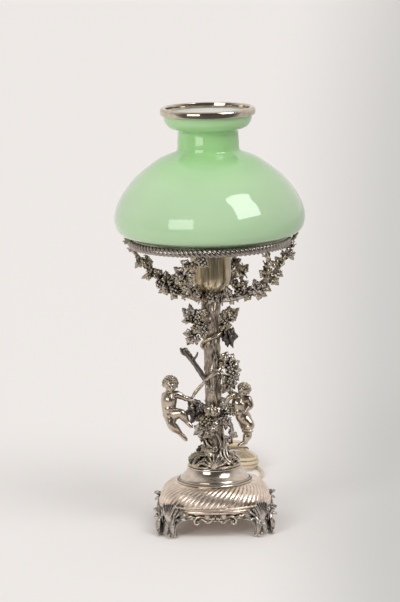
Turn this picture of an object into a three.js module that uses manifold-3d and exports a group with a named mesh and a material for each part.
// A table lamp: a domed silver base on four scroll feet, a cast vine trunk with two climbing putti,
// vine arms that carry a rope-edged ring, and a green glass shade over a screw-in bulb.
// Millimetres, +Z up, the table at z = 0, the trunk on the Z axis, the front towards -Y.
import * as THREE from 'three';
import { mergeVertices } from 'three/addons/utils/BufferGeometryUtils.js';
import Module from 'manifold-3d';

const wasm = await Module();
wasm.setup();

// Clearances
const GAP = 0.3;

// Base
const DOME_HALF_WIDTH = 85;
const DOME_SQUARENESS = 2.25;
const DOME_BOTTOM = 36;
const DOME_TOP = 70;
const DOME_WALL = 2.2;
const BELL_FOOT_RADIUS = 57.5;
const BELL_TOP_RADIUS = 40.5;
const BELL_HEIGHT = 23.5;
const BELL_WALL = 1.6;
const FOOT_REACH = 20;
const FOOT_TOE_SPREAD = 14;
const FOOT_BRACKET = 6.5;
const FOOT_BRACKET_TURN = 0.32;
const FOOT_SEAT = 2;
const KNEE_HEIGHT = 52;
const APRON_END_GAP = 1.7;
const APRON_THICKNESS = 3;

// Rocaille mount and trunk
const MOUNT_INSET = 0.5;
const MOUNT_HEIGHT = 28;
const MOUNT_RECESS_DEPTH = 9;
const TRUNK_HEIGHT = 232;
const TRUNK_FOOT_RADIUS = 17;
const TRUNK_WAIST_RADIUS = 12.2;
const TRUNK_TOP_RADIUS = 13.8;
const VINE_DIAMETER = 5.6;
const LEAF_THICKNESS = 1.7;
const GRAPE_RADIUS = 3.1;

// Rod that clamps the stack, and the wire inside it
const ROD_RADIUS = 5;
const ROD_BORE = 3.6;
const NUT_ACROSS_FLATS = 14;
const NUT_HEIGHT = 4.5;
const WASHER_RADIUS = 11;
const WASHER_THICKNESS = 1;

// Crown, cup and lampholder
const HUB_RADIUS = 17;
const HUB_HEIGHT = 15;
const CUP_RADIUS = 30;
const CUP_HEIGHT = 66;
const CUP_WALL = 1.2;
const HOLDER_MARGIN = 6.8;
const HOLDER_HEIGHT = 46;
const HOLDER_WALL = 1.6;
const CAP_RADIUS = 13.2;
const CAP_HEIGHT = 24;
const BULB_RADIUS = 30;
const BULB_HEIGHT = 82;
const BULB_WALL = 1;

// Shade and the ring it stands in
const FITTER_RADIUS = 117.5;
const SHADE_RADIUS = 143.3;
const NECK_RADIUS = 45.4;
const MOUTH_RADIUS = 66.3;
const GLASS_HEIGHT = 193.5;
const WIDEST_SHARE = 0.191;
const NECK_SHARE = 0.858;
const GLASS_WALL = 3;
const RING_HEIGHT = 9.5;
const RING_WALL = 1.2;
const RING_LEDGE = 9;
const ROPE_RADIUS = 2.9;
const RING_RISE = 90.8;
const RIM_OVERHANG = 5.1;
const RIM_HEIGHT = 8;
const RIM_SKIRT = 2.6;

// Cord, in-line switch and plug
const CORD_DIAMETER = 5.4;
const RELIEF_LENGTH = 22;
const SWITCH_LENGTH = 62;
const SWITCH_WIDTH = 26;
const SWITCH_HEIGHT = 17;
const ROCKER_LENGTH = 17;
const ROCKER_WIDTH = 9;
const ROCKER_TILT = 8;
const PLUG_LENGTH = 38;
const PLUG_WIDTH = 35;
const PLUG_THICKNESS = 14;
const PIN_DIAMETER = 4;
const PIN_LENGTH = 19;
const PIN_SPACING = 18.6;
const HANK_RUN = 20 * CORD_DIAMETER;
const HANK_FOLD = 3 * CORD_DIAMETER;
const HANK_PITCH = CORD_DIAMETER + 0.6;
const HANK_STEP = CORD_DIAMETER + 0.45;
const HANK_LAYERS = 4;
const HANK_NIP = 5;
const HANK_LIFT = 1.4;
const HANK_TURN = THREE.MathUtils.degToRad(13);
const HANK_NEAR = new THREE.Vector3(51, 367, 0);
const TIE_WIDTH = 7;
const TIE_THICKNESS = 1;

// Sizes and levels that follow from the stack
const FOOT_TOE_RADIUS = DOME_HALF_WIDTH + FOOT_REACH;
const BRACKET_LENGTH = FOOT_REACH + FOOT_SEAT;
const FOOT_HALF_WIDTH = (
  FOOT_TOE_SPREAD + BRACKET_LENGTH * Math.sin(FOOT_BRACKET_TURN) + FOOT_BRACKET / 2);
const APRON_HALF_LENGTH = (DOME_HALF_WIDTH * Math.PI) / 4 - FOOT_HALF_WIDTH - APRON_END_GAP;
const MOUNT_RADIUS = BELL_TOP_RADIUS - MOUNT_INSET;
const HOLDER_RADIUS = CAP_RADIUS + HOLDER_MARGIN;
const BELL_TOP = DOME_TOP + GAP + BELL_HEIGHT;
const MOUNT_BOTTOM = BELL_TOP + GAP;
const MOUNT_TOP = MOUNT_BOTTOM + MOUNT_HEIGHT;
const TRUNK_BOTTOM = MOUNT_TOP - MOUNT_RECESS_DEPTH + GAP;
const TRUNK_TOP = TRUNK_BOTTOM + TRUNK_HEIGHT;
const HUB_BOTTOM = TRUNK_TOP + GAP;
const HUB_TOP = HUB_BOTTOM + HUB_HEIGHT;
const CUP_BOTTOM = HUB_TOP + GAP;
const ROD_CLEAR = ROD_RADIUS + GAP;
const WASHER_TOP = DOME_TOP - DOME_WALL - GAP;
const LOWER_NUT_TOP = WASHER_TOP - WASHER_THICKNESS - GAP;
const ROD_BOTTOM = LOWER_NUT_TOP - NUT_HEIGHT - 2;
const UPPER_NUT_BOTTOM = CUP_BOTTOM + CUP_WALL + GAP;
const HOLDER_BOTTOM = UPPER_NUT_BOTTOM + NUT_HEIGHT + GAP;
const ROD_TOP = HOLDER_BOTTOM + 10;
const RING_BOTTOM = HUB_BOTTOM + RING_RISE;
const GLASS_BOTTOM = RING_BOTTOM + RING_WALL + GAP;

// Finishes
const polished = metal(0xd8cbbd, 0.16);
const oxidised = metal(0x8f857a, 0.38);
const flesh = metal(0xa3968a, 0.3);
const cupMetal = metal(0xa79a7c, 0.22);
const steel = metal(0xb9bcc0, 0.35);
const brass = metal(0xc6a25a, 0.3);
const greenGlass = plastic(0xa2d094, 0.08);
const opalGlass = plastic(0xf2f0ea, 0.2);
const porcelain = plastic(0xe9e6dd, 0.35);
const creamFlex = plastic(0xd6c9a2, 0.5);
const ivoryPlastic = plastic(0xe6dfc9, 0.4);
const darkTie = plastic(0x3a352f, 0.6);

function metal(color, roughness) {
  return new THREE.MeshStandardMaterial({ color, roughness, metalness: 1 });
}

function plastic(color, roughness) {
  return new THREE.MeshStandardMaterial({ color, roughness, metalness: 0 });
}

// A geometry with its shared corners merged and its flat triangles left out
function clean(geometry) {
  const plain = geometry.clone();
  for (const name of Object.keys(plain.attributes)) {
    if (name !== 'position') plain.deleteAttribute(name);
  }
  plain.clearGroups();
  const merged = mergeVertices(plain, 1e-4);
  const corners = merged.index.array;
  const kept = [];
  for (let i = 0; i < corners.length; i += 3) {
    const [a, b, c] = [corners[i], corners[i + 1], corners[i + 2]];
    if (a !== b && b !== c && c !== a) kept.push(a, b, c);
  }
  merged.setIndex(kept);
  return merged;
}

function solidOf(geometry) {
  const merged = clean(geometry);
  const vertProperties = new Float32Array(merged.attributes.position.array);
  const triVerts = new Uint32Array(merged.index.array);
  return new wasm.Manifold(new wasm.Mesh({ numProp: 3, vertProperties, triVerts }));
}

function geometryOf(solid) {
  const mesh = solid.getMesh();
  const geometry = new THREE.BufferGeometry();
  geometry.setAttribute('position', new THREE.BufferAttribute(mesh.vertProperties, 3));
  geometry.setIndex(new THREE.BufferAttribute(mesh.triVerts, 1));
  return geometry;
}

function join(geometries) {
  return geometryOf(geometries.map(solidOf).reduce((whole, next) => whole.add(next)));
}

function cut(geometry, ...tools) {
  return geometryOf(tools.map(solidOf).reduce((whole, tool) => whole.subtract(tool), solidOf(geometry)));
}

// The same solid grown by the clearance, as copies moved both ways along each axis
function grown(geometry) {
  const copies = [geometry];
  for (const way of [-GAP, GAP]) {
    copies.push(geometry.clone().translate(way, 0, 0));
    copies.push(geometry.clone().translate(0, way, 0));
    copies.push(geometry.clone().translate(0, 0, way));
  }
  return join(copies);
}

// A turned piece: its profile is a closed loop of [radius, height]
function turned(profile, segments) {
  const loop = [...profile, profile[0]];
  const points = loop.map(([radius, height]) => new THREE.Vector2(radius, height));
  return new THREE.LatheGeometry(points, segments).rotateX(Math.PI / 2);
}

function outline(points) {
  return new THREE.Shape(points.map(([x, y]) => new THREE.Vector2(x, y)));
}

function extruded(shape, depth) {
  return new THREE.ExtrudeGeometry(shape, { depth, bevelEnabled: false, curveSegments: 6 });
}

function circleShape(radius, sides) {
  const points = [];
  for (let i = 0; i < sides; i += 1) {
    const angle = (i / sides) * 2 * Math.PI;
    points.push([radius * Math.cos(angle), radius * Math.sin(angle)]);
  }
  return outline(points);
}

function vectors(points) {
  return points.map(([x, y, z]) => new THREE.Vector3(x, y, z));
}

// A round tube along a smooth line through the points
function tube(points, diameter, sides, steps) {
  const extrudePath = new THREE.CatmullRomCurve3(vectors(points), false, 'centripetal');
  const shape = circleShape(diameter / 2, sides);
  return new THREE.ExtrudeGeometry(shape, { steps, extrudePath, bevelEnabled: false });
}

// A branch or limb: rings of the given radii round the points, closed by a blunt tip at each end
function limb(points, radii, sides = 6, bluntness = 0.5) {
  const centres = vectors(points);
  const count = centres.length;
  const positions = [];
  const corners = [];
  let across = null;
  for (let i = 0; i < count; i += 1) {
    const before = centres[Math.max(i - 1, 0)];
    const after = centres[Math.min(i + 1, count - 1)];
    const along = after.clone().sub(before).normalize();
    if (across === null) {
      const up = Math.abs(along.z) < 0.9 ? new THREE.Vector3(0, 0, 1) : new THREE.Vector3(1, 0, 0);
      across = up.clone().cross(along).normalize();
    }
    across = across.clone().addScaledVector(along, -across.dot(along)).normalize();
    const over = along.clone().cross(across);
    for (let k = 0; k < sides; k += 1) {
      const angle = (k / sides) * 2 * Math.PI;
      const point = centres[i].clone();
      point.addScaledVector(across, radii[i] * Math.cos(angle));
      point.addScaledVector(over, radii[i] * Math.sin(angle));
      positions.push(point.x, point.y, point.z);
    }
  }
  const [first, last] = [centres[0], centres[count - 1]];
  const start = first.clone().sub(centres[1]).setLength(radii[0] * bluntness).add(first);
  const end = last.clone().sub(centres[count - 2]).setLength(radii[count - 1] * bluntness).add(last);
  positions.push(start.x, start.y, start.z, end.x, end.y, end.z);
  const startCorner = count * sides;
  const endCorner = startCorner + 1;
  for (let k = 0; k < sides; k += 1) {
    const next = (k + 1) % sides;
    const top = (count - 1) * sides;
    corners.push(startCorner, next, k);
    corners.push(endCorner, top + k, top + next);
    for (let i = 0; i < count - 1; i += 1) {
      const low = i * sides;
      corners.push(low + k, low + next, low + sides + next);
      corners.push(low + k, low + sides + next, low + sides + k);
    }
  }
  const geometry = new THREE.BufferGeometry();
  geometry.setAttribute('position', new THREE.Float32BufferAttribute(positions, 3));
  geometry.setIndex(corners);
  return geometry;
}

function blob([x, y, z], [rx, ry, rz], detail = 1) {
  return new THREE.IcosahedronGeometry(1, detail).scale(rx, ry, rz).translate(x, y, z);
}

// A five-lobed vine leaf as a thin plate, from its stalk to its tip, facing the given way
function leaf(base, tip, facing, width) {
  const right = [[0.4, 0], [0.27, 0.33], [0.5, 0.58]];
  const left = right.map(([x, y]) => [-x, y]).reverse();
  const plate = extruded(outline([...right, [0, 1], ...left]), 1).translate(0, 0, -0.5);
  const start = new THREE.Vector3(...base);
  const along = new THREE.Vector3(...tip).sub(start);
  const length = along.length();
  along.normalize();
  const out = new THREE.Vector3(...facing);
  out.addScaledVector(along, -out.dot(along)).normalize();
  const across = along.clone().cross(out);
  plate.scale(width, length, LEAF_THICKNESS);
  plate.applyMatrix4(new THREE.Matrix4().makeBasis(across, along, out).setPosition(start));
  return [plate];
}

// A bunch of grapes: a core with berries standing out of it
function bunch([x, y, z], radius, drop, count) {
  const golden = Math.PI * (3 - Math.sqrt(5));
  const pieces = [blob([x, y, z], [radius * 0.9, radius * 0.9, drop * 0.95], 0)];
  for (let i = 0; i < count; i += 1) {
    const level = 1 - (2 * (i + 0.5)) / count;
    const ring = Math.sqrt(1 - level * level) * radius * 0.85;
    const berry = new THREE.OctahedronGeometry(GRAPE_RADIUS * 1.15);
    berry.translate(x + ring * Math.cos(i * golden), y + ring * Math.sin(i * golden), z + level * drop);
    pieces.push(berry);
  }
  return pieces;
}

const lamp = new THREE.Group();

function add(name, geometry, material, parent = lamp) {
  const mesh = new THREE.Mesh(clean(geometry), material);
  mesh.name = name;
  parent.add(mesh);
  return mesh;
}

// Base dome: a raised shell of cushion-shaped plan, open below, with a hole for the rod
function domeRadius(halfWidth, angle) {
  const squareness = 2 + (DOME_SQUARENESS - 2) * Math.min(1, halfWidth / DOME_HALF_WIDTH);
  const power = Math.abs(Math.cos(angle)) ** squareness + Math.abs(Math.sin(angle)) ** squareness;
  return halfWidth / power ** (1 / squareness);
}

function domeGeometry() {
  const rise = DOME_TOP - DOME_BOTTOM;
  const outer = [
    [ROD_CLEAR, 1], [BELL_FOOT_RADIUS + 1.5, 1], [DOME_HALF_WIDTH - 18, 0.95], [DOME_HALF_WIDTH - 11, 0.8],
    [DOME_HALF_WIDTH - 5.5, 0.62], [DOME_HALF_WIDTH - 2.5, 0.41], [DOME_HALF_WIDTH - 2.5, 0.24],
    [DOME_HALF_WIDTH, 0.17], [DOME_HALF_WIDTH, 0],
  ];
  const inner = [
    [DOME_HALF_WIDTH - DOME_WALL, 0], [DOME_HALF_WIDTH - DOME_WALL - 5, 0.5],
      [DOME_HALF_WIDTH - DOME_WALL - 13, 0.78],
    [BELL_FOOT_RADIUS, 1 - DOME_WALL / rise], [ROD_CLEAR, 1 - DOME_WALL / rise],
  ];
  const profile = [...outer, ...inner];
  const sides = 28;
  const positions = [];
  const corners = [];
  for (let k = 0; k < sides; k += 1) {
    const angle = (k / sides) * 2 * Math.PI;
    for (const [halfWidth, level] of profile) {
      const radius = domeRadius(halfWidth, angle);
      positions.push(radius * Math.cos(angle), radius * Math.sin(angle), DOME_BOTTOM + level * rise);
    }
  }
  const rings = profile.length;
  for (let k = 0; k < sides; k += 1) {
    const here = k * rings;
    const there = ((k + 1) % sides) * rings;
    for (let i = 0; i < rings; i += 1) {
      const next = (i + 1) % rings;
      corners.push(here + i, here + next, there + next);
      corners.push(here + i, there + next, there + i);
    }
  }
  const geometry = new THREE.BufferGeometry();
  geometry.setAttribute('position', new THREE.Float32BufferAttribute(positions, 3));
  geometry.setIndex(corners);
  return geometry;
}
add('base_dome', domeGeometry(), polished);

// Bell: a spun collar between the dome and the rocaille mount, closed above but for the rod
const bellBottom = DOME_TOP + GAP;
add('base_bell', turned([
  [BELL_FOOT_RADIUS, bellBottom], [BELL_FOOT_RADIUS, bellBottom + 2], [BELL_FOOT_RADIUS - 3, bellBottom + 3],
  [BELL_FOOT_RADIUS - 7, bellBottom + 5.5], [BELL_TOP_RADIUS + 3, bellBottom + 13],
  [BELL_TOP_RADIUS, bellBottom + 20], [BELL_TOP_RADIUS + 1, BELL_TOP],
  [ROD_CLEAR, BELL_TOP], [ROD_CLEAR, BELL_TOP - BELL_WALL],
    [BELL_TOP_RADIUS - BELL_WALL, BELL_TOP - BELL_WALL],
  [BELL_TOP_RADIUS + 3 - BELL_WALL, bellBottom + 13 - BELL_WALL], [BELL_FOOT_RADIUS - 7, bellBottom + 3.5],
  [BELL_FOOT_RADIUS - 9, bellBottom],
], 20), polished);

// Feet: each has two C-scroll brackets with a toe, a pad under the dome, and an acanthus knee that rises
// beside it
function footGeometry() {
  const ledge = DOME_BOTTOM - GAP;
  const toe = FOOT_TOE_RADIUS;
  const bracket = [
    [-5, 0], [4, 0], [6, 2.5], [5, 6.5], [1.5, 9], [0.5, 15], [1, 20], [-2, 25.5], [-8, 29],
    [4 - FOOT_REACH, ledge], [-BRACKET_LENGTH, ledge], [-BRACKET_LENGTH, 24], [-10, 23], [-5.5, 18.5],
    [-4.5, 12],
  ];
  const flat = 0.45;
  const knee = [[-6, 9], [-4, 19], [-5, 29], [-10, 40], [-10.5, KNEE_HEIGHT - 3]];
  const kneeLeaf = limb(knee.map(([out, z]) => [out / flat, 0, z]), [5, 8.6, 9.6, 8.4, 3.5], 6, 0.3);
  const pad = new THREE.BoxGeometry(13, 2 * FOOT_TOE_SPREAD + 4, 7);
  const pieces = [pad.translate(DOME_HALF_WIDTH + 5.5, 0, ledge - 3.5)];
  for (const side of [-1, 1]) {
    const plate = extruded(outline(bracket), FOOT_BRACKET).translate(0, 0, -FOOT_BRACKET / 2);
    plate.rotateX(Math.PI / 2).rotateZ(-side * FOOT_BRACKET_TURN);
    pieces.push(plate.translate(toe, side * FOOT_TOE_SPREAD, 0));
  }
  pieces.push(kneeLeaf.scale(flat, 1.1, 1).translate(toe, 0, 0));
  return join(pieces);
}
const footShape = footGeometry();
const corners = ['back_right', 'back_left', 'front_left', 'front_right'];
corners.forEach((corner, index) => {
  const foot = add(`foot_${corner}`, footShape, oxidised);
  foot.rotation.z = Math.PI / 4 + (index * Math.PI) / 2;
});

// Aprons: scroll strips bent to the dome's edge, from foot to foot. Each half is given as
// [share of its length, drop below the dome]
function apronGeometry() {
  const top = DOME_BOTTOM - GAP;
  const scrolls = [
    [0.19, 10], [0.32, 8.5], [0.4, 10], [0.49, 13.5], [0.6, 13], [0.62, 8], [0.77, 8], [0.89, 10.5],
    [1, 9], [1, 0], [0.77, 0], [0.51, 0], [0.26, 0],
  ];
  const right = scrolls.map(([share, drop]) => [share * APRON_HALF_LENGTH, top - drop]);
  const left = right.map(([x, y]) => [-x, y]).reverse();
  const strip = extruded(outline([[0, top - 11], ...right, [0, top], ...left]), APRON_THICKNESS);
  const place = strip.attributes.position;
  for (let i = 0; i < place.count; i += 1) {
    const angle = place.getX(i) / DOME_HALF_WIDTH;
    const depth = place.getZ(i) - APRON_THICKNESS - 0.4;
    const radius = domeRadius(DOME_HALF_WIDTH, angle) + depth;
    place.setXYZ(i, radius * Math.cos(angle), radius * Math.sin(angle), place.getY(i));
  }
  return strip;
}
const apronShape = apronGeometry();
['right', 'back', 'left', 'front'].forEach((side, index) => {
  const apron = add(`apron_${side}`, apronShape, polished);
  apron.rotation.z = (index * Math.PI) / 2;
});

// Rocaille mount: a mound of acanthus, shells and volutes, bored for the rod, recessed for the trunk
const SPIRAL_STEPS = 9;
function spiral([x, y, z], size, turnsCount, start) {
  const points = [];
  for (let i = 0; i <= SPIRAL_STEPS; i += 1) {
    const share = i / SPIRAL_STEPS;
    const radius = size * (1 - 0.8 * share);
    const angle = start + share * turnsCount * 2 * Math.PI;
    points.push([x + radius * Math.cos(angle), y, z + radius * Math.sin(angle)]);
  }
  return points;
}

function mountGeometry() {
  const z0 = MOUNT_BOTTOM;
  const core = turned([
    [MOUNT_RADIUS, z0], [MOUNT_RADIUS, z0 + 1.5], [MOUNT_RADIUS - 5, z0 + 5], [MOUNT_RADIUS - 14, z0 + 10],
    [TRUNK_FOOT_RADIUS + 5, z0 + 18], [TRUNK_FOOT_RADIUS + 3, MOUNT_TOP], [0, MOUNT_TOP], [0, z0],
  ], 16);
  const volutePoints = spiral([28, -21, z0 + 9], 9, 1.35, Math.PI * 0.75);
  const volute = limb(volutePoints, Array(volutePoints.length).fill(2.6), 5);
  const pieces = [
    core,
    blob([-23, -7, z0 + 8], [16, 15, 10]),
    blob([20, 18, z0 + 7], [16, 14, 9]),
    blob([-14, 22, z0 + 8], [14, 12, 9]),
    blob([-1, -31, z0 + 5], [15, 6, 9]),
    limb([[18, -18, z0 + 4], [22, -20, z0 + 14], [30, -19, z0 + 19]], [5, 4.5, 2], 6),
    limb([[6, -18, z0 + 10], [9, -20, z0 + 22], [5, -20, z0 + 27]], [5, 4, 2], 6),
    volute,
  ];
  const recess = turned([
    [0, TRUNK_BOTTOM - GAP], [trunkRadius(TRUNK_BOTTOM) + GAP, TRUNK_BOTTOM - GAP],
    [trunkRadius(MOUNT_TOP) + GAP, MOUNT_TOP + 30], [0, MOUNT_TOP + 30],
  ], 16);
  const bore = turned([[0, z0 - 5], [ROD_CLEAR, z0 - 5], [ROD_CLEAR, MOUNT_TOP], [0, MOUNT_TOP]], 12);
  const below = new THREE.BoxGeometry(200, 200, 20).translate(0, 0, z0 - 10);
  return cut(join(pieces), recess, bore, below);
}

// Trunk: a gnarled column, waisted, bored through for the rod
function trunkRadius(z) {
  const share = (z - TRUNK_BOTTOM) / TRUNK_HEIGHT;
  if (share < 0.4) {
    const ease = Math.max(0, 1 - share / 0.4) ** 1.5;
    return TRUNK_WAIST_RADIUS + (TRUNK_FOOT_RADIUS - TRUNK_WAIST_RADIUS) * ease;
  }
  const ease = Math.max(0, (share - 0.6) / 0.4) ** 1.2;
  return TRUNK_WAIST_RADIUS + (TRUNK_TOP_RADIUS - TRUNK_WAIST_RADIUS) * ease;
}

function trunkProfile(extra, rings) {
  const outer = [];
  for (let i = 0; i <= rings; i += 1) {
    const z = TRUNK_BOTTOM + (TRUNK_HEIGHT * i) / rings;
    outer.push([trunkRadius(z) + extra, z]);
  }
  return outer;
}
const TRUNK_RINGS = 11;
const trunkOutside = trunkProfile(0, TRUNK_RINGS);
add('rocaille_mount', mountGeometry(), oxidised);
add('trunk', turned([[ROD_CLEAR, TRUNK_BOTTOM], ...trunkOutside, [ROD_CLEAR, TRUNK_TOP]], 14), oxidised);
const trunkCutter = turned(
  [[0, TRUNK_BOTTOM], ...trunkProfile(GAP, TRUNK_RINGS), [0, TRUNK_TOP]], 14);

// What grows on the trunk has its heights as shares of the trunk's height, from the trunk's foot
function atTrunk([x, y, share]) {
  return [x, y, TRUNK_BOTTOM + share * TRUNK_HEIGHT];
}

// Vine: one stem that leaves the left putto's hand and winds up round the trunk, given as
// [share of the trunk's height, azimuth]
const VINE_ORBIT = TRUNK_WAIST_RADIUS + GAP + VINE_DIAMETER / 2 + 0.5;
const vineTurns = [
  [0.47, 212], [0.5, 240], [0.53, 275], [0.56, 315], [0.591, 355], [0.621, 400], [0.651, 450], [0.681, 500],
  [0.716, 550], [0.75, 590], [0.772, 630], [0.793, 675], [0.823, 720], [0.862, 765], [0.905, 800],
  [0.953, 825],
];
function vinePoints() {
  const free = [[-31, -8, 0.375], [-25.5, -10, 0.414]];
  const wound = vineTurns.map(([z, azimuth]) => {
    const angle = THREE.MathUtils.degToRad(azimuth);
    const bark = trunkRadius(TRUNK_BOTTOM + z * TRUNK_HEIGHT);
    const orbit = Math.max(VINE_ORBIT, bark + GAP + VINE_DIAMETER / 2 + 0.3);
    return [orbit * Math.cos(angle), orbit * Math.sin(angle), z];
  });
  return [...free, ...wound].map(atTrunk);
}
const VINE_STEPS = 34;
const vineStem = tube(vinePoints(), VINE_DIAMETER, 5, VINE_STEPS);
const vineCutter = tube(vinePoints(), VINE_DIAMETER + 2.4 * GAP, 5, VINE_STEPS);
add('trunk_vine', vineStem, oxidised);

// Cut branch: the stub of a sawn bough on the left of the trunk
const stubLine = [[-8, -6, 0.466], [-17, -8, 0.53], [-27, -9, 0.599], [-35, -10, 0.651], [-41, -10, 0.685]];
const stub = limb(stubLine.map(atTrunk), [4.5, 4.8, 4.6, 5, 5.4], 7);
add('branch_stub', cut(stub, trunkCutter, vineCutter), oxidised);

// The putti: limbs and torso swept through their joints, joined into one casting each
function putto(size, shares) {
  const j = {};
  for (const [name, place] of Object.entries(shares)) j[name] = atTrunk(place);
  const pieces = [
    blob(j.head, [size * 0.92, size * 0.95, size]),
    blob(j.hair, [size * 0.98, size * 0.98, size * 0.85]),
    blob(j.nose, [1.3, 1.3, 1.8], 0),
    limb([j.head, j.neck, j.chest], [5, 4.4, 6], 6),
    limb([j.neck, j.chest, j.waist, j.hips], [6.5, 10.5, 8.8, 9], 8),
    limb([j.shoulderA, j.chest, j.shoulderB], [4.6, 8, 4.6], 6),
    limb([j.shoulderA, j.elbowA, j.handA], [4.7, 3.7, 2.7]),
    limb([j.shoulderB, j.elbowB, j.handB], [4.7, 3.7, 2.7]),
    blob(j.handA, [3.4, 3.4, 3.4], 0),
    blob(j.handB, [3.4, 3.4, 3.4], 0),
    limb([j.hips, j.kneeA, j.ankleA, j.toeA], [7.6, 5.2, 3, 2.4]),
    limb([j.hips, j.kneeB, j.ankleB, j.toeB], [7.6, 5.2, 3, 2.4]),
  ];
  return join(pieces);
}

const leftPutto = putto(10, {
  head: [-64, -14, 0.472], hair: [-64.5, -12, 0.485], nose: [-62.6, -24, 0.466],
  neck: [-65.5, -12, 0.418], chest: [-66.5, -11, 0.371], waist: [-67, -10.5, 0.306], hips: [-65, -11, 0.267],
  shoulderA: [-54, -9, 0.397], elbowA: [-44, -8.5, 0.373], handA: [-34.5, -9, 0.356],
  shoulderB: [-76.5, -9, 0.388], elbowB: [-81, -3, 0.341], handB: [-76, 3, 0.293],
  kneeA: [-48, -20, 0.28], ankleA: [-40, -17, 0.22], toeA: [-34.5, -19, 0.194],
  kneeB: [-64, -18, 0.203], ankleB: [-51, -12, 0.142], toeB: [-43, -13.5, 0.101],
});
add('putto_left', leftPutto, flesh);

const rightPutto = putto(9.6, {
  head: [49, -8, 0.427], hair: [50, -9, 0.435], nose: [41.5, -2, 0.422],
  neck: [45, -6, 0.377], chest: [40, -5, 0.332], waist: [41.5, -5, 0.276], hips: [44.5, -5, 0.237],
  shoulderA: [53.5, -7, 0.353], elbowA: [57, -10, 0.315], handA: [49, -13, 0.28],
  shoulderB: [36, -1, 0.366], elbowB: [28, 5, 0.388], handB: [22, 8, 0.422],
  kneeA: [56, -12, 0.185], ankleA: [47, -9, 0.151], toeA: [55, -15, 0.147],
  kneeB: [52, 2, 0.116], ankleB: [47, 0, 0.062], toeB: [39, -6, 0.047],
});
add('putto_right', rightPutto, flesh);
const leftPuttoCutter = grown(leftPutto);
const rightPuttoCutter = grown(rightPutto);

// Sprays of leaves and grapes soldered to the trunk, each cut to seat on what it touches
function sprayStem(points, radii, sides) {
  return limb(points.map(atTrunk), radii, sides);
}

function sprayLeaf(base, tip, facing, width) {
  return leaf(atTrunk(base), atTrunk(tip), facing, width);
}

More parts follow.
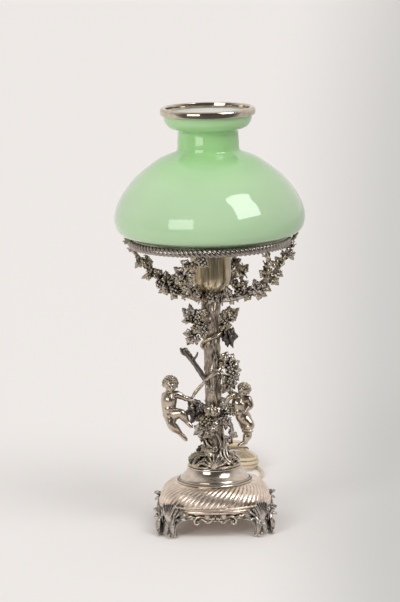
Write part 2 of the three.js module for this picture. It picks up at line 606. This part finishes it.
function sprayBunch(centre, radius, drop, count) {
  return bunch(atTrunk(centre), radius, drop, count);
}
const sprays = {
  spray_upper_left: [
    sprayStem([[-9, -8, 0.815], [-17, -13, 0.832], [-24, -13, 0.858], [-33, -12, 0.892]],
      [2.4, 2.2, 1.8, 1.5], 6),
    sprayStem([[-17, -13, 0.832], [-24, -12, 0.797], [-30, -12, 0.763]], [2, 1.7, 1.4], 6),
    ...sprayBunch([-17.5, -13, 0.858], 6, 9, 5),
    ...sprayLeaf([-30, -13, 0.879], [-37, -15, 0.94], [0.2, -1, 0.2], 12),
    ...sprayLeaf([-26, -13, 0.862], [-38, -11, 0.849], [0.2, -1, 0.5], 11),
    ...sprayLeaf([-27, -12, 0.78], [-36, -13, 0.733], [-0.2, -1, 0], 12),
  ],
  spray_upper_right: [
    sprayStem([[8, -4, 0.832], [17, -6, 0.841], [22, -8, 0.875], [28, -9, 0.909]], [2.4, 2.2, 2, 1.6], 6),
    ...sprayLeaf([24, -9, 0.884], [29, -12, 0.957], [0.1, -1, 0.2], 13),
    ...sprayLeaf([26, -9, 0.897], [39, -8, 0.948], [0, -1, 0.2], 11),
  ],
  leaf_hanging: [
    sprayStem([[9, -1, 0.806], [17, -2, 0.806], [24, -3, 0.806], [27, -4, 0.789]], [2.2, 2, 1.8, 1.6], 6),
    ...sprayLeaf([25, -4, 0.81], [29, -8, 0.707], [0.8, -1, 0.3], 16),
    ...sprayLeaf([22, -3, 0.802], [35, -1, 0.754], [0.5, -0.6, 0.8], 13),
  ],
  spray_middle_right: [
    sprayStem([[8, -5, 0.625], [16, -8, 0.616], [24, -9, 0.591], [30, -8, 0.547], [29, -7, 0.496]],
      [2.6, 2.6, 2.4, 2.2, 1.8], 6),
    ...sprayBunch([26.5, -9, 0.552], 7, 12, 5),
    ...sprayLeaf([15, -9, 0.612], [22, -14, 0.659], [0.2, -1, 0.3], 13),
    ...sprayLeaf([26, -10, 0.591], [38, -9, 0.616], [0, -1, 0.4], 12),
    ...sprayLeaf([30, -9, 0.547], [42, -8, 0.53], [0.2, -1, 0.3], 13),
    ...sprayLeaf([28, -8, 0.504], [19, -10, 0.448], [0.2, -1, 0.1], 13),
  ],
  spray_low_left: [
    sprayStem([[-10, -4, 0.254], [-18, -6, 0.272], [-26, -6, 0.293], [-31, -7, 0.315]],
      [2.8, 2.8, 2.4, 2], 6),
    ...sprayLeaf([-24, -8, 0.28], [-34, -12, 0.358], [0.4, -1, 0.2], 17),
    ...sprayLeaf([-23, -8, 0.28], [-37, -10, 0.228], [0.3, -1, 0.3], 17),
    ...sprayLeaf([-16, -8, 0.276], [-20, -13, 0.332], [0.2, -1, 0.1], 12),
  ],
  spray_low_front: [
    sprayStem([[-6, -9, 0.228], [-8, -17, 0.22], [-13, -19, 0.185], [-19, -17, 0.155]],
      [2.6, 2.6, 2.2, 1.8], 6),
    ...sprayBunch([-10, -17, 0.216], 6.5, 6, 5),
    ...sprayLeaf([-6, -18, 0.224], [2, -20, 0.297], [0.1, -1, 0.1], 16),
    ...sprayLeaf([-13, -19, 0.185], [-30, -16, 0.134], [0, -1, 0.4], 14),
    ...sprayLeaf([-9, -19, 0.194], [0, -21, 0.142], [0.1, -1, 0], 13),
  ],
  spray_low_right: [
    sprayStem([[8, -3, 0.254], [17, -5, 0.254], [26, -6, 0.28], [35, -6, 0.319]], [2.6, 2.6, 2.4, 2.2], 6),
    sprayStem([[17, -5, 0.254], [23, -5, 0.203], [27, -5, 0.151], [25, -5, 0.108]], [2.4, 2.4, 2.4, 2.6], 6),
    ...sprayLeaf([21, -7, 0.272], [15, -12, 0.341], [0.2, -1, 0], 14),
    ...sprayLeaf([22, -7, 0.211], [12, -12, 0.159], [0.2, -1, 0], 14),
    ...sprayLeaf([25, -6, 0.159], [34, -8, 0.112], [-0.2, -1, 0.2], 11),
  ],
  spray_back: [
    sprayStem([[2, 9, 0.315], [3, 17, 0.332], [6, 18, 0.384], [1, 18, 0.435]], [2.6, 2.6, 2.2, 1.8], 6),
    ...sprayBunch([4, 18.5, 0.371], 6.5, 7, 5),
    ...sprayLeaf([4, 18, 0.401], [-4, 20, 0.478], [0, 1, 0.1], 15),
    ...sprayLeaf([2, 18, 0.341], [-10, 19, 0.28], [0, 1, 0.2], 15),
  ],
};
for (const [name, pieces] of Object.entries(sprays)) {
  add(name, cut(join(pieces), trunkCutter, vineCutter, leftPuttoCutter, rightPuttoCutter), oxidised);
}

// Crown hub on the trunk's head, from which the arms spring
add('crown_hub', turned([
  [ROD_CLEAR, HUB_BOTTOM], [TRUNK_TOP_RADIUS, HUB_BOTTOM], [HUB_RADIUS, HUB_BOTTOM + 3.5],
  [HUB_RADIUS, HUB_TOP - 4], [HUB_RADIUS - 3.5, HUB_TOP], [ROD_CLEAR, HUB_TOP],
], 20), oxidised);

// Cup: a spun sleeve round the lampholder, open above
add('lamp_cup', turned([
  [ROD_CLEAR, CUP_BOTTOM], [HUB_RADIUS - 4, CUP_BOTTOM], [HUB_RADIUS, CUP_BOTTOM + 3],
  [CUP_RADIUS - 3.5, CUP_BOTTOM + 18], [CUP_RADIUS, CUP_BOTTOM + 26],
    [CUP_RADIUS + 1, CUP_BOTTOM + CUP_HEIGHT],
  [CUP_RADIUS + 1 - CUP_WALL, CUP_BOTTOM + CUP_HEIGHT], [CUP_RADIUS - CUP_WALL, CUP_BOTTOM + 26.5],
  [CUP_RADIUS - 3.5 - CUP_WALL, CUP_BOTTOM + 19], [HUB_RADIUS - 1.5, CUP_BOTTOM + 4],
  [HUB_RADIUS - 4.5, CUP_BOTTOM + CUP_WALL], [ROD_CLEAR, CUP_BOTTOM + CUP_WALL],
], 16), cupMetal);

// Ring that carries the shade: a band with an inner ledge, and the rope moulding under it
const bandInside = FITTER_RADIUS + GAP;
const bandOutside = bandInside + RING_WALL;
const ringTop = RING_BOTTOM + RING_HEIGHT;
const SHADE_SIDES = 28;
add('shade_ring', turned([
  [FITTER_RADIUS - RING_LEDGE, RING_BOTTOM], [bandOutside, RING_BOTTOM], [bandOutside, ringTop],
  [bandInside, ringTop], [bandInside, RING_BOTTOM + RING_WALL],
    [FITTER_RADIUS - RING_LEDGE, RING_BOTTOM + RING_WALL],
], SHADE_SIDES), oxidised);
const ropeOrbit = bandOutside + 1.2 - ROPE_RADIUS;
const rope = new THREE.TorusGeometry(ropeOrbit, ROPE_RADIUS, 5, SHADE_SIDES);
add('ring_rope', rope.translate(0, 0, RING_BOTTOM - GAP - ROPE_RADIUS), oxidised);
const ringGuard = turned([
  [FITTER_RADIUS - RING_LEDGE - GAP, RING_BOTTOM - 2 * ROPE_RADIUS - 2 * GAP],
  [bandOutside + 1.2 + GAP, RING_BOTTOM - 2 * ROPE_RADIUS - 2 * GAP],
  [bandOutside + 1.2 + GAP, ringTop + GAP], [FITTER_RADIUS - RING_LEDGE - GAP, ringTop + GAP],
], SHADE_SIDES);

// Vine arms from the hub to the ring, with their leaves and grapes. Their points are given as shares: x and y
// of the rope moulding's radius, and z of the ring's rise above the hub
function atArm([x, y, z]) {
  return [x * ropeOrbit, y * ropeOrbit, HUB_BOTTOM + z * RING_RISE];
}

function armStem(points, radii) {
  return limb(points.map(atArm), radii, 5);
}

function armLeaf(base, tip, facing, width) {
  return leaf(atArm(base), atArm(tip), facing, width);
}

function armBunch(centre, radius, drop, count) {
  return bunch(atArm(centre), radius, drop, count);
}
const arms = {
  arm_left: [
    armStem([[-0.094, -0.026, 0.047], [-0.205, -0.043, 0.069], [-0.332, -0.051, 0.124],
      [-0.46, -0.051, 0.202], [-0.58, -0.051, 0.334], [-0.699, -0.043, 0.477],
      [-0.827, -0.034, 0.642], [-0.938, -0.017, 0.796], [-1.014, -0.009, 0.939], [-1.053, 0, 1.039],
        [-1.095, 0, 1.083]],
    [4.5, 3.8, 3.5, 3.4, 3.2, 3, 2.8, 2.7, 2.4, 1.8, 1]),
    armStem([[-0.767, -0.034, 0.565], [-0.801, -0.085, 0.642], [-0.827, -0.102, 0.741]], [2, 1.7, 1.2]),
    ...armBunch([-0.469, -0.102, 0.224], 5.5, 7, 4),
    ...armLeaf([-0.529, -0.06, 0.279], [-0.648, -0.102, 0.18], [-0.2, -1, -0.4], 15),
    ...armLeaf([-0.631, -0.051, 0.4], [-0.716, -0.111, 0.576], [0.3, -1, 0.2], 15),
    ...armLeaf([-0.563, -0.051, 0.323], [-0.563, -0.136, 0.51], [0.2, -1, 0.3], 16),
    ...armLeaf([-0.887, -0.026, 0.719], [-0.955, -0.043, 0.598], [0, -1, -0.2], 10),
  ],
  arm_right: [
    armStem([[0.094, -0.043, 0.047], [0.205, -0.077, 0.047], [0.324, -0.128, 0.08],
      [0.486, -0.205, 0.169], [0.614, -0.264, 0.268], [0.716, -0.281, 0.389],
      [0.81, -0.256, 0.521], [0.895, -0.205, 0.653], [0.963, -0.145, 0.796], [1.019, -0.102, 0.95],
        [1.07, -0.085, 1.05], [1.125, -0.077, 1.138]],
    [4.5, 4.2, 4, 4, 3.8, 3.6, 3.2, 3, 2.6, 2.3, 1.8, 1]),
    armStem([[0.682, -0.281, 0.345], [0.716, -0.409, 0.488], [0.729, -0.546, 0.642],
      [0.725, -0.656, 0.796], [0.712, -0.716, 0.928]],
      [3.4, 3, 2.8, 2.6, 2.2]),
    ...armBunch([0.392, -0.171, 0.18], 6.5, 6, 4),
    ...armLeaf([0.546, -0.239, 0.213], [0.682, -0.29, 0.124], [0, -1, -0.5], 17),
    ...armLeaf([0.767, -0.281, 0.455], [0.853, -0.307, 0.334], [0.3, -1, -0.2], 14),
    ...armLeaf([0.716, -0.426, 0.499], [0.631, -0.494, 0.576], [-0.4, -1, 0], 12),
    ...armLeaf([0.989, -0.128, 0.862], [1.057, -0.171, 0.73], [0.3, -1, 0.1], 13),
  ],
  arm_front: [
    armStem([[-0.051, -0.094, 0.047], [-0.128, -0.162, 0.091], [-0.23, -0.298, 0.202],
      [-0.315, -0.494, 0.378], [-0.341, -0.682, 0.576], [-0.273, -0.844, 0.763],
      [-0.171, -0.938, 0.873], [-0.085, -0.98, 0.923]], [4.4, 3.8, 3.2, 3, 2.8, 2.6, 2.6, 3]),
    ...armBunch([-0.094, -0.972, 0.873], 7, 5.5, 4),
    ...armLeaf([-0.281, -0.426, 0.312], [-0.392, -0.477, 0.51], [0.2, -1, 0], 16),
    ...armLeaf([-0.324, -0.682, 0.576], [-0.443, -0.699, 0.719], [0.2, -1, 0.1], 15),
    ...armLeaf([-0.332, -0.699, 0.587], [-0.239, -0.733, 0.444], [0, -1, 0], 14),
    ...armLeaf([-0.256, -0.861, 0.774], [-0.358, -0.887, 0.862], [0, -1, 0.2], 13),
  ],
  arm_back: [
    armStem([[0.043, 0.094, 0.047], [0.111, 0.171, 0.091], [0.205, 0.324, 0.202], [0.256, 0.512, 0.378],
      [0.247, 0.716, 0.576], [0.153, 0.878, 0.763],
      [0.085, 0.955, 0.873], [0.043, 0.989, 0.923]], [4.4, 3.8, 3.2, 3, 2.8, 2.6, 2.6, 2.6]),
    ...armBunch([0.256, 0.563, 0.488], 7, 6, 4),
    ...armLeaf([0.222, 0.392, 0.268], [0.341, 0.375, 0.444], [0.2, 1, 0.2], 16),
    ...armLeaf([0.256, 0.614, 0.477], [0.392, 0.597, 0.576], [0.2, 1, 0.1], 16),
    ...armLeaf([0.247, 0.716, 0.576], [0.136, 0.716, 0.444], [0, 1, 0], 14),
  ],
};
const hubGuard = turned([
  [0, HUB_BOTTOM - GAP], [TRUNK_TOP_RADIUS + GAP, HUB_BOTTOM - GAP], [HUB_RADIUS + GAP, HUB_BOTTOM + 3.5],
  [HUB_RADIUS + GAP, HUB_TOP - 4], [HUB_RADIUS - 3, HUB_TOP + GAP], [0, HUB_TOP + GAP],
], 20);
for (const [name, pieces] of Object.entries(arms)) {
  add(name, cut(join(pieces), hubGuard, ringGuard), oxidised);
}

// Clamping rod with its nuts and washer, and the wire inside
function hexNut(bottom) {
  const shape = circleShape(NUT_ACROSS_FLATS / Math.sqrt(3), 6);
  shape.holes.push(new THREE.Path(circleShape(ROD_CLEAR, 12).getPoints()));
  return extruded(shape, NUT_HEIGHT).translate(0, 0, bottom);
}
add('clamp_rod', turned(
  [[ROD_BORE, ROD_BOTTOM], [ROD_RADIUS, ROD_BOTTOM], [ROD_RADIUS, ROD_TOP], [ROD_BORE, ROD_TOP]], 12), steel);
add('rod_washer', turned([
  [ROD_CLEAR, WASHER_TOP - WASHER_THICKNESS], [WASHER_RADIUS, WASHER_TOP - WASHER_THICKNESS],
  [WASHER_RADIUS, WASHER_TOP], [ROD_CLEAR, WASHER_TOP],
], 12), steel);
add('rod_nut_lower', hexNut(LOWER_NUT_TOP - NUT_HEIGHT), steel);
add('rod_nut_upper', hexNut(UPPER_NUT_BOTTOM), steel);
add('inner_lead', turned([
  [0, ROD_BOTTOM], [CORD_DIAMETER / 2, ROD_BOTTOM], [CORD_DIAMETER / 2, ROD_TOP + 1], [0, ROD_TOP + 1],
], 8), creamFlex);

// Lampholder: a domed base screwed on the rod, a skirt, a porcelain insert, a threaded liner, a contact.
// The liner's flats clear the corners of the bulb's cap as it turns
const HOLDER_SIDES = 12;
const skirtBottom = HOLDER_BOTTOM + 15;
const insertBottom = skirtBottom + 2;
const insertTop = insertBottom + 9;
const contactTop = insertTop + GAP + 3;
const tipTop = contactTop + GAP + 1.6;
const capBottom = tipTop + GAP;
const capTop = capBottom + CAP_HEIGHT;
add('holder_base', turned([
  [ROD_CLEAR, HOLDER_BOTTOM], [9, HOLDER_BOTTOM], [16, HOLDER_BOTTOM + 5],
    [HOLDER_RADIUS, HOLDER_BOTTOM + 11],
  [HOLDER_RADIUS, skirtBottom - GAP], [HOLDER_RADIUS - HOLDER_WALL, skirtBottom - GAP],
  [HOLDER_RADIUS - HOLDER_WALL, HOLDER_BOTTOM + 11.5], [14.5, HOLDER_BOTTOM + 6.5], [9, HOLDER_BOTTOM + 3],
  [ROD_CLEAR, HOLDER_BOTTOM + 3],
], HOLDER_SIDES), brass);
add('holder_skirt', turned([
  [HOLDER_RADIUS - HOLDER_WALL, skirtBottom], [HOLDER_RADIUS, skirtBottom],
  [HOLDER_RADIUS, HOLDER_BOTTOM + HOLDER_HEIGHT],
    [HOLDER_RADIUS - HOLDER_WALL, HOLDER_BOTTOM + HOLDER_HEIGHT],
], HOLDER_SIDES), brass);
const insertRadius = HOLDER_RADIUS - HOLDER_WALL - GAP;
add('holder_insert', turned(
  [[0, insertBottom], [insertRadius, insertBottom], [insertRadius, insertTop],
    [0, insertTop]], HOLDER_SIDES), porcelain);
const linerInside = (CAP_RADIUS + GAP) / Math.cos(Math.PI / HOLDER_SIDES);
const linerBottom = insertTop + GAP;
add('holder_liner', turned([
  [linerInside, linerBottom], [linerInside + 1, linerBottom], [linerInside + 1, linerBottom + 20],
  [linerInside + 3.5, linerBottom + 21], [insertRadius - GAP, linerBottom + 21],
    [insertRadius - GAP, linerBottom + 22],
  [linerInside + 3, linerBottom + 22], [linerInside, linerBottom + 20.5],
], HOLDER_SIDES), brass);
add('holder_contact', turned([
  [0, insertTop + GAP], [6, insertTop + GAP], [6, insertTop + GAP + 1], [3, contactTop],
    [0, contactTop]], 10), brass);
add('bulb_tip', turned([
  [0, contactTop + GAP], [3.5, contactTop + GAP], [4.5, tipTop], [0, tipTop]], HOLDER_SIDES), brass);
add('bulb_cap', turned([
  [0, capBottom], [5, capBottom], [CAP_RADIUS - 1, capBottom + 5], [CAP_RADIUS, capBottom + 6],
  [CAP_RADIUS, capTop], [0, capTop]], HOLDER_SIDES), steel);

const BULB_ARCS = 5;
function bulbProfile() {
  const bottom = capTop + GAP;
  const top = bottom + BULB_HEIGHT;
  const centre = top - BULB_RADIUS;
  const outer = [[CAP_RADIUS - 1, bottom], [CAP_RADIUS + 1, bottom + 8], [CAP_RADIUS + 6, bottom + 21]];
  const inner = [[CAP_RADIUS - 2, bottom], [CAP_RADIUS, bottom + 8], [CAP_RADIUS + 5, bottom + 21]];
  for (let i = 0; i <= BULB_ARCS; i += 1) {
    const angle = THREE.MathUtils.degToRad(-32 + (122 * i) / BULB_ARCS);
    const shell = (radius) => [radius * Math.cos(angle), centre + radius * Math.sin(angle)];
    outer.push(i === BULB_ARCS ? [0, top] : shell(BULB_RADIUS));
    inner.push(i === BULB_ARCS ? [0, top - BULB_WALL] : shell(BULB_RADIUS - BULB_WALL));
  }
  return [...outer, ...inner.reverse()];
}
add('bulb_glass', turned(bulbProfile(), HOLDER_SIDES), opalGlass);

// Shade: blown glass, standing on the ring by its fitter, with a metal ring round its mouth
function between(low, high, share) {
  return low + (high - low) * share;
}

// The glass's outline as [share of the way out, share of the way up, whether the lining bends there]: from
// the fitter to the widest place, on to the neck, and out again to the mouth
const BELLY = [
  [0.25, 0.05, true], [0.54, 0.15, false], [0.775, 0.33, true], [0.93, 0.6, false], [1, 1, false],
];
const SHOULDER = [
  [0.975, 0.105, true], [0.914, 0.217, false], [0.831, 0.318, false], [0.658, 0.476, true],
  [0.399, 0.631, false], [0.254, 0.701, true], [0.125, 0.74, false], [0.008, 0.767, true], [0, 1, true],
];
const FLARE = [
  [0.268, 0.13, false], [0.627, 0.255, true], [0.871, 0.471, false], [1, 0.76, true], [1, 1, true],
];
function glassOutline() {
  const fitter = RING_HEIGHT - RING_WALL + GAP;
  const widest = WIDEST_SHARE * GLASS_HEIGHT;
  const neck = NECK_SHARE * GLASS_HEIGHT;
  const stretch = (shares, radii, heights) => shares.map(([out, up, lined]) => (
    [between(...radii, out), between(...heights, up), lined]));
  return [
    [FITTER_RADIUS, 0, true], [FITTER_RADIUS, fitter, true],
    ...stretch(BELLY, [FITTER_RADIUS, SHADE_RADIUS], [fitter, widest]),
    ...stretch(SHOULDER, [NECK_RADIUS, SHADE_RADIUS], [widest, neck]),
    ...stretch(FLARE, [NECK_RADIUS, MOUTH_RADIUS], [neck, GLASS_HEIGHT]),
  ];
}

function glassProfile() {
  const outer = glassOutline();
  const lining = [];
  outer.forEach(([radius, height, lined], i) => {
    if (!lined) return;
    const before = new THREE.Vector2(...outer[Math.max(i - 1, 0)]);
    const along = new THREE.Vector2(...outer[Math.min(i + 1, outer.length - 1)]).sub(before).normalize();
    lining.unshift([radius - along.y * GLASS_WALL, height + along.x * GLASS_WALL]);
  });
  return [...outer, ...lining].map(([radius, height]) => [radius, GLASS_BOTTOM + height]);
}
add('shade_glass', turned(glassProfile(), SHADE_SIDES), greenGlass);
const rimBottom = GLASS_BOTTOM + GLASS_HEIGHT + GAP;
const rimOutside = MOUTH_RADIUS + RIM_OVERHANG;
const mouthOutside = MOUTH_RADIUS + GAP;
const rimTop = rimBottom + RIM_HEIGHT;
add('shade_rim', turned([
  [mouthOutside, rimBottom - RIM_SKIRT], [rimOutside - 2, rimBottom - RIM_SKIRT],
  [rimOutside, rimTop - 4.5], [rimOutside - 0.8, rimTop - 1.4], [rimOutside - 3.2, rimTop],
  [mouthOutside - GLASS_WALL - 1, rimTop], [mouthOutside - GLASS_WALL - 1, rimBottom],
  [mouthOutside, rimBottom],
], SHADE_SIDES), polished);

// Free cord: it drops out of a tapered relief at the rod's foot, runs back along the table through the
// switch, is folded into a tied hank behind the lamp, and comes back to the plug
const cordRadius = CORD_DIAMETER / 2;
const reliefTop = ROD_BOTTOM - GAP;
const reliefBottom = reliefTop - RELIEF_LENGTH;
add('cord_relief', turned([
  [0, reliefBottom], [cordRadius + 0.6, reliefBottom], [ROD_RADIUS - 0.5, reliefTop - 3],
    [ROD_RADIUS + 1, reliefTop],
  [0, reliefTop],
], 12), ivoryPlastic);

const switchNear = 190;
const switchFar = switchNear + SWITCH_LENGTH;
const switchX = 8;
const cordLevel = cordRadius;
const switchLevel = SWITCH_HEIGHT / 2;
const cordToSwitch = [
  [0, 0, reliefBottom - GAP], [0, 0, 32], [0, 1.5, 24], [0.5, 7, 15], [1.5, 16, 8], [3, 28, 4],
    [5, 42, cordLevel],
  [8, 62, cordLevel], [13, 90, cordLevel], [16, 118, cordLevel], [14, 146, 3.2], [10, 166, 5.5],
  [switchX, 180, switchLevel - 0.6], [switchX, 185, switchLevel], [switchX, switchNear - GAP, switchLevel],
];
const cordToHank = [
  [switchX, switchFar + GAP, switchLevel], [switchX, switchFar + 5, switchLevel], [7.5, 264, 6],
    [7.5, 280, 3.4],
  [10, 300, 5.5], [16, 320, 12], [23, 338, 18],
];

// Hank: four layers of one loop each, which spiral in and out again and are nipped in at the waist
const LOOP_STEPS = 24;
const RUN_SHARE = 0.3;
const CLIMB_SHARE = 0.15;
const HANK_TURNS = HANK_LAYERS - 0.5 + RUN_SHARE;
const hankAlong = new THREE.Vector3(-Math.sin(HANK_TURN), Math.cos(HANK_TURN), 0);
const hankAcross = new THREE.Vector3(Math.cos(HANK_TURN), Math.sin(HANK_TURN), 0);

function hankPlace(along, across, height) {
  const point = HANK_NEAR.clone().addScaledVector(hankAlong, along).addScaledVector(hankAcross, across);
  point.z = cordLevel + height;
  return point;
}

function hankWidth(turn) {
  const layer = Math.max(0, Math.floor(turn - CLIMB_SHARE));
  const done = turn - CLIMB_SHARE - layer;
  return HANK_FOLD + HANK_PITCH * (layer % 2 === 0 ? 1 - done : done);
}

function hankHeight(turn) {
  let level = HANK_LAYERS - 1;
  for (let climb = 1; climb < HANK_LAYERS; climb += 1) {
    level -= THREE.MathUtils.smoothstep(turn, climb, climb + 2 * CLIMB_SHARE);
  }
  return level * HANK_STEP;
}

function hankPoint(turn) {
  const phase = turn - Math.floor(turn);
  const width = hankWidth(turn);
  const side = phase < 0.5 ? -1 : 1;
  const share = (phase % 0.5) / RUN_SHARE;
  const far = phase < 0.5 ? HANK_RUN : 0;
  if (share <= 1) {
    const nip = Math.sin(Math.PI * share) ** 2;
    const along = phase < 0.5 ? HANK_RUN * share : HANK_RUN * (1 - share);
    return hankPlace(along, side * (width - HANK_NIP * nip), hankHeight(turn) + HANK_LIFT * nip);
  }
  const angle = (Math.PI * ((phase % 0.5) - RUN_SHARE)) / (0.5 - RUN_SHARE);
  const along = far - side * width * Math.sin(angle);
  return hankPlace(along, side * width * Math.cos(angle), hankHeight(turn));
}

// The middle of each run starts a climb, so the spiral's own turn is counted from there
function hankPoints() {
  const steps = Math.round(HANK_TURNS * LOOP_STEPS);
  const points = [];
  for (let i = 0; i <= steps; i += 1) {
    points.push(hankPoint((HANK_TURNS * i) / steps - 1e-9 * (i === steps ? 1 : 0)));
  }
  const first = points[0].clone().addScaledVector(hankAlong, -CORD_DIAMETER);
  const last = points[steps].clone().addScaledVector(hankAlong, -CORD_DIAMETER);
  return [first, ...points, last];
}

function leastGap(points, diameter) {
  const apart = 3 * diameter;
  let travelled = 0;
  const marks = points.map((point, i) => {
    if (i > 0) travelled += point.distanceTo(points[i - 1]);
    return travelled;
  });
  let least = Infinity;
  for (let i = 0; i < points.length - 1; i += 1) {
    const from = new THREE.Line3(points[i], points[i + 1]);
    for (let j = 0; j < points.length; j += 1) {
      const away = Math.min(Math.abs(marks[j] - marks[i]), Math.abs(marks[j] - marks[i + 1]));
      if (away < apart) continue;
      const nearest = from.closestPointToPoint(points[j], true, new THREE.Vector3());
      least = Math.min(least, nearest.distanceTo(points[j]) - diameter);
    }
  }
  return { least, length: travelled };
}

const hankLine = hankPoints();
const { least, length } = leastGap(hankLine, CORD_DIAMETER);
console.log(`hank: ${length.toFixed(0)} mm long, least gap to itself ${least.toFixed(2)} mm`);
const hankStart = hankLine[0].clone().addScaledVector(hankAlong, -GAP);
const hankEnd = hankLine[hankLine.length - 1].clone().addScaledVector(hankAlong, -GAP);
const beforeHank = hankStart.clone().addScaledVector(hankAlong, -CORD_DIAMETER);
const afterHank = hankEnd.clone().addScaledVector(hankAlong, -CORD_DIAMETER);
const hankRadii = Array(hankLine.length).fill(cordRadius);
const hankSolid = limb(hankLine.map((point) => point.toArray()), hankRadii, 6, 0);
add('cord_hank', hankSolid, creamFlex);
add('cord_to_switch', tube(cordToSwitch, CORD_DIAMETER, 8, 22), creamFlex);
const cordIn = [...cordToHank, beforeHank.toArray(), hankStart.toArray()];
add('cord_to_hank', tube(cordIn, CORD_DIAMETER, 8, 11), creamFlex);

// Tie round the hank's waist
const tieLow = HANK_LIFT - GAP;
const tieHigh = HANK_LIFT + (HANK_LAYERS - 1) * HANK_STEP + CORD_DIAMETER + GAP;
const tieLeft = -(HANK_FOLD + HANK_PITCH - HANK_NIP + cordRadius + GAP);
const tieRight = HANK_FOLD + HANK_PITCH / 2 - HANK_NIP + cordRadius + GAP;
function tieLoop(extra) {
  const cornerCut = 1.6;
  const [left, right, low, high] = [tieLeft - extra, tieRight + extra, tieLow - extra, tieHigh + extra];
  return [
    [left + cornerCut, low], [right - cornerCut, low], [right, low + cornerCut], [right, high - cornerCut],
    [right - cornerCut, high], [left + cornerCut, high], [left, high - cornerCut], [left, low + cornerCut],
  ];
}
const tieShape = outline(tieLoop(TIE_THICKNESS));
tieShape.holes.push(new THREE.Path(outline(tieLoop(0)).getPoints()));
const tie = extruded(tieShape, TIE_WIDTH).translate(0, 0, -TIE_WIDTH / 2).rotateX(Math.PI / 2);
const tieCentre = hankPlace(HANK_RUN / 2, 0, -cordLevel);
add('cord_tie', tie.rotateZ(HANK_TURN).translate(tieCentre.x, tieCentre.y, tieCentre.z), darkTie);

// In-line switch: two shells and a rocker between its walls
function capsule(width, length) {
  const bevel = width * 0.3;
  const [x, y] = [width / 2, length / 2];
  return outline([
    [x - bevel, -y], [x, bevel * 1.6 - y], [x, y - bevel * 1.6], [x - bevel, y],
    [bevel - x, y], [-x, y - bevel * 1.6], [-x, bevel * 1.6 - y], [bevel - x, -y],
  ]);
}
const switchMiddle = switchNear + SWITCH_LENGTH / 2;
const seam = SWITCH_HEIGHT / 2;
const rockerPivot = new THREE.Vector3(switchX, switchMiddle, SWITCH_HEIGHT - 3);
const lowerShell = extruded(capsule(SWITCH_WIDTH, SWITCH_LENGTH), seam - GAP / 2);
add('switch_lower_shell', lowerShell.translate(switchX, switchMiddle, 0), ivoryPlastic);
const upperShell = extruded(capsule(SWITCH_WIDTH, SWITCH_LENGTH), seam - GAP / 2);
const slotDepth = 7;
const slot = new THREE.BoxGeometry(ROCKER_WIDTH + 2 * GAP, ROCKER_LENGTH + 1.8, 2 * slotDepth);
slot.translate(0, 0, seam);
const slottedShell = cut(upperShell, slot).translate(switchX, switchMiddle, seam + GAP / 2);
add('switch_upper_shell', slottedShell, ivoryPlastic);
const rockerSide = outline([
  [-ROCKER_LENGTH / 2, -2], [ROCKER_LENGTH / 2, -2], [ROCKER_LENGTH / 2, 3], [0, 1.8],
    [-ROCKER_LENGTH / 2, 3],
]);
const rocker = extruded(rockerSide, ROCKER_WIDTH).translate(0, 0, -ROCKER_WIDTH / 2);
rocker.rotateX(Math.PI / 2).rotateZ(Math.PI / 2).rotateX(THREE.MathUtils.degToRad(-ROCKER_TILT));
add('switch_rocker', rocker.translate(rockerPivot.x, rockerPivot.y, rockerPivot.z), darkTie);

// Plug: a flat two-pin plug with a moulded boot, lying on the table beside the switch
const plugX = 55;
const plugLevel = PLUG_THICKNESS / 2;
const bootLength = 16;
const bootEnd = 250;
const plugBack = bootEnd - bootLength;
const plugFront = plugBack - PLUG_LENGTH;
const cordToPlug = [
  hankEnd.toArray(), afterHank.toArray(), [76.5, 347, cordLevel], [77.5, 326, cordLevel],
    [75.5, 306, cordLevel],
  [70, 288, 3], [63, 272, 4.5], [plugX + 2, 261, 6.4], [plugX, bootEnd + 5, plugLevel],
  [plugX, bootEnd + GAP, plugLevel],
];
add('cord_to_plug', tube(cordToPlug, CORD_DIAMETER, 8, 12), creamFlex);
const plugOutline = outline([
  [-PLUG_WIDTH / 2, plugFront], [PLUG_WIDTH / 2, plugFront], [PLUG_WIDTH / 2, plugFront + 8],
  [PLUG_WIDTH / 2 - 3, plugBack - 12], [8, plugBack], [cordRadius + 0.8, bootEnd],
    [-cordRadius - 0.8, bootEnd],
  [-8, plugBack], [3 - PLUG_WIDTH / 2, plugBack - 12], [-PLUG_WIDTH / 2, plugFront + 8],
]);
const plugBlock = extruded(plugOutline, PLUG_THICKNESS).translate(plugX, 0, 0);
add('plug_body', plugBlock, ivoryPlastic);
for (const [name, side] of [['plug_pin_left', -1], ['plug_pin_right', 1]]) {
  const pinX = plugX + (side * PIN_SPACING) / 2;
  const pin = limb([
    [pinX, plugFront - GAP, plugLevel], [pinX, plugFront + 1.5 - PIN_LENGTH, plugLevel],
    [pinX, plugFront - PIN_LENGTH, plugLevel],
  ], [PIN_DIAMETER / 2, PIN_DIAMETER / 2, PIN_DIAMETER / 3], 8, 0);
  add(name, pin, steel);
}

export default lamp;
